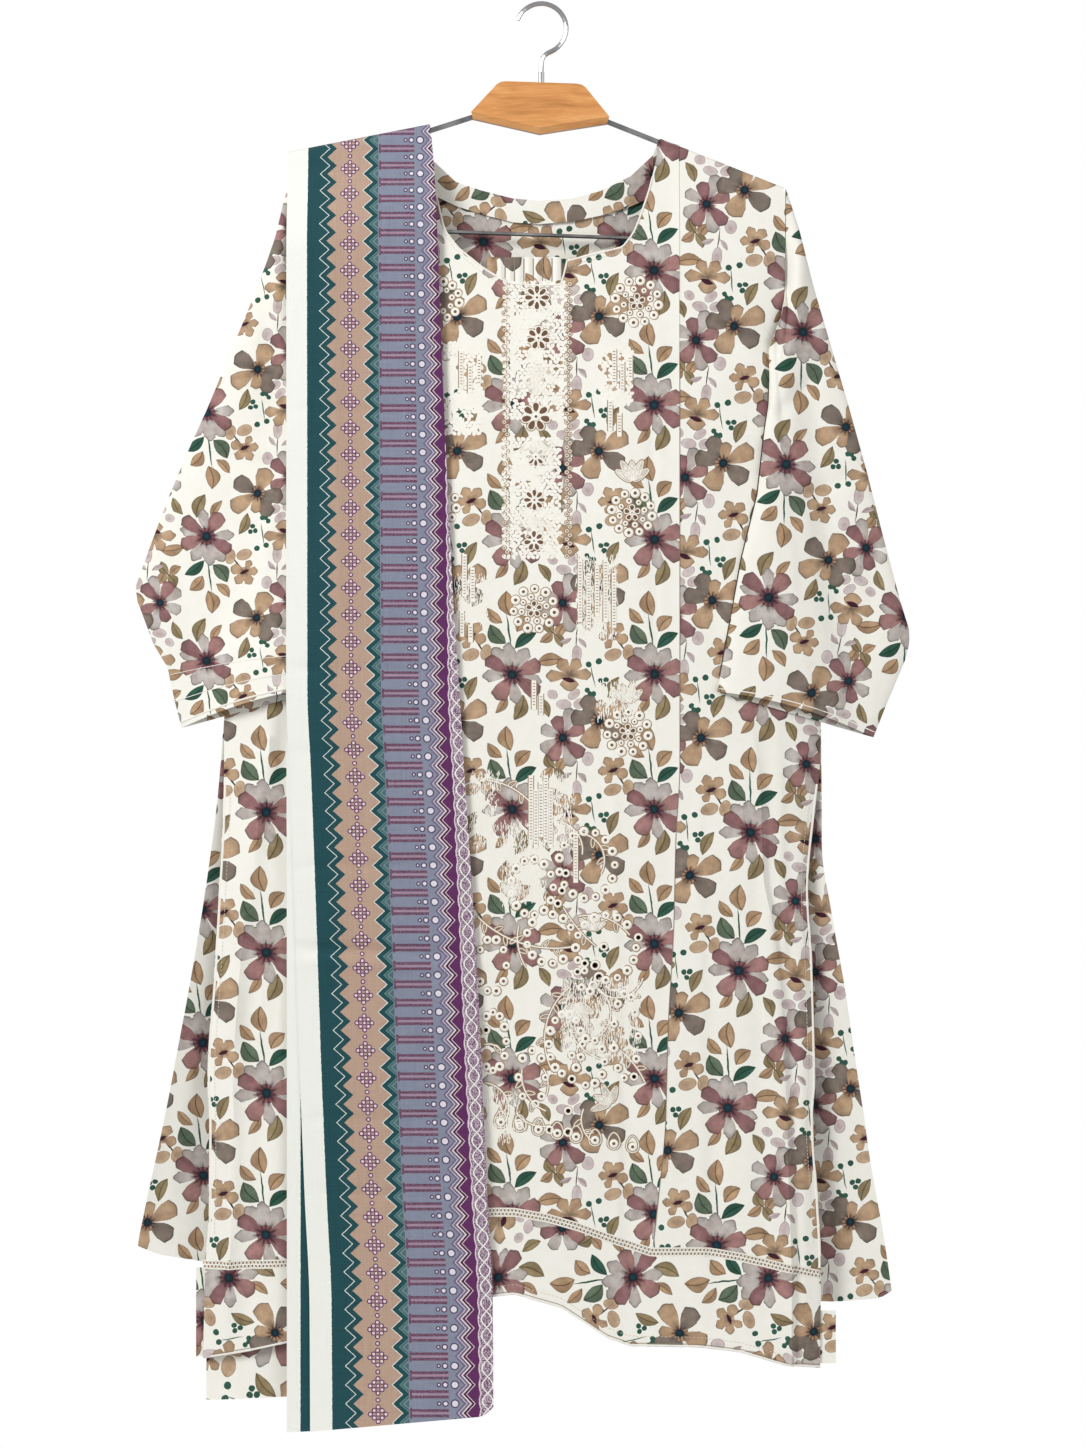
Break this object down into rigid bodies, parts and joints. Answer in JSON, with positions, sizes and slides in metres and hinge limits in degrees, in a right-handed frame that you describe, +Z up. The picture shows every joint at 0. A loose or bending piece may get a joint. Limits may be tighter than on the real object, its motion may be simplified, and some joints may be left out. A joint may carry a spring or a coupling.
{
  "type": "salwar kameez suit on a clothes hanger",
  "caption": "Printed cotton kameez with openwork front, its trousers over the hanger's bar and a banded dupatta folded over one shoulder, on a hanger.",
  "frame": {"origin": "top of the inside of the hanger's hook, where the rail carries it", "axes": "+Z up, -Y towards the front of the kameez, +X to the right as seen from the front"},
  "size_m": [0.6946, 0.052, 1.2828],
  "materials": {
    "hook_steel": "polished steel wire",
    "ferrule_steel": "polished steel",
    "block_wood": "orange-brown satin lacquer",
    "arm_left_chrome": "bright chrome",
    "arm_right_chrome": "bright chrome",
    "bar_chrome": "bright chrome",
    "front_centre_print": "printed cotton with cream openwork embroidery",
    "front_left_print": "printed cotton",
    "front_right_print": "printed cotton",
    "lace_cotton": "cream cotton lace",
    "border_print": "printed cotton",
    "turnback_left_print": "printed cotton",
    "turnback_right_print": "printed cotton",
    "tucks_print": "gathered printed cotton",
    "back_print": "printed cotton",
    "facing_print": "printed cotton",
    "sleeve_left_print": "printed cotton",
    "sleeve_right_print": "printed cotton",
    "dupatta_front_bands": "fine woven bands, soft sheen",
    "dupatta_under_white": "fine woven cloth, soft sheen",
    "dupatta_back_bands": "fine woven bands, soft sheen",
    "waistband_print": "printed cotton",
    "leg_front_print": "printed cotton",
    "leg_back_print": "printed cotton"
  },
  "bodies": {
    "root": {"hanger_hook": "hook_steel", "hanger_ferrule": "ferrule_steel", "hanger_block": "block_wood", "hanger_arm_left": "arm_left_chrome", "hanger_arm_right": "arm_right_chrome", "hanger_bar": "bar_chrome", "kameez_front_centre": "front_centre_print", "kameez_front_side_left": "front_left_print", "kameez_front_side_right": "front_right_print", "kameez_front_lace": "lace_cotton", "kameez_front_border": "border_print", "kameez_front_turnback_left": "turnback_left_print", "kameez_front_turnback_right": "turnback_right_print", "kameez_neck_tucks": "tucks_print", "kameez_back": "back_print", "kameez_neck_facing": "facing_print", "sleeve_left": "sleeve_left_print", "sleeve_right": "sleeve_right_print", "dupatta_front": "dupatta_front_bands", "dupatta_front_under": "dupatta_under_white", "dupatta_back": "dupatta_back_bands", "trousers_waistband": "waistband_print", "trousers_leg_front": "leg_front_print", "trousers_leg_back": "leg_back_print"}
  },
  "joints": []
}
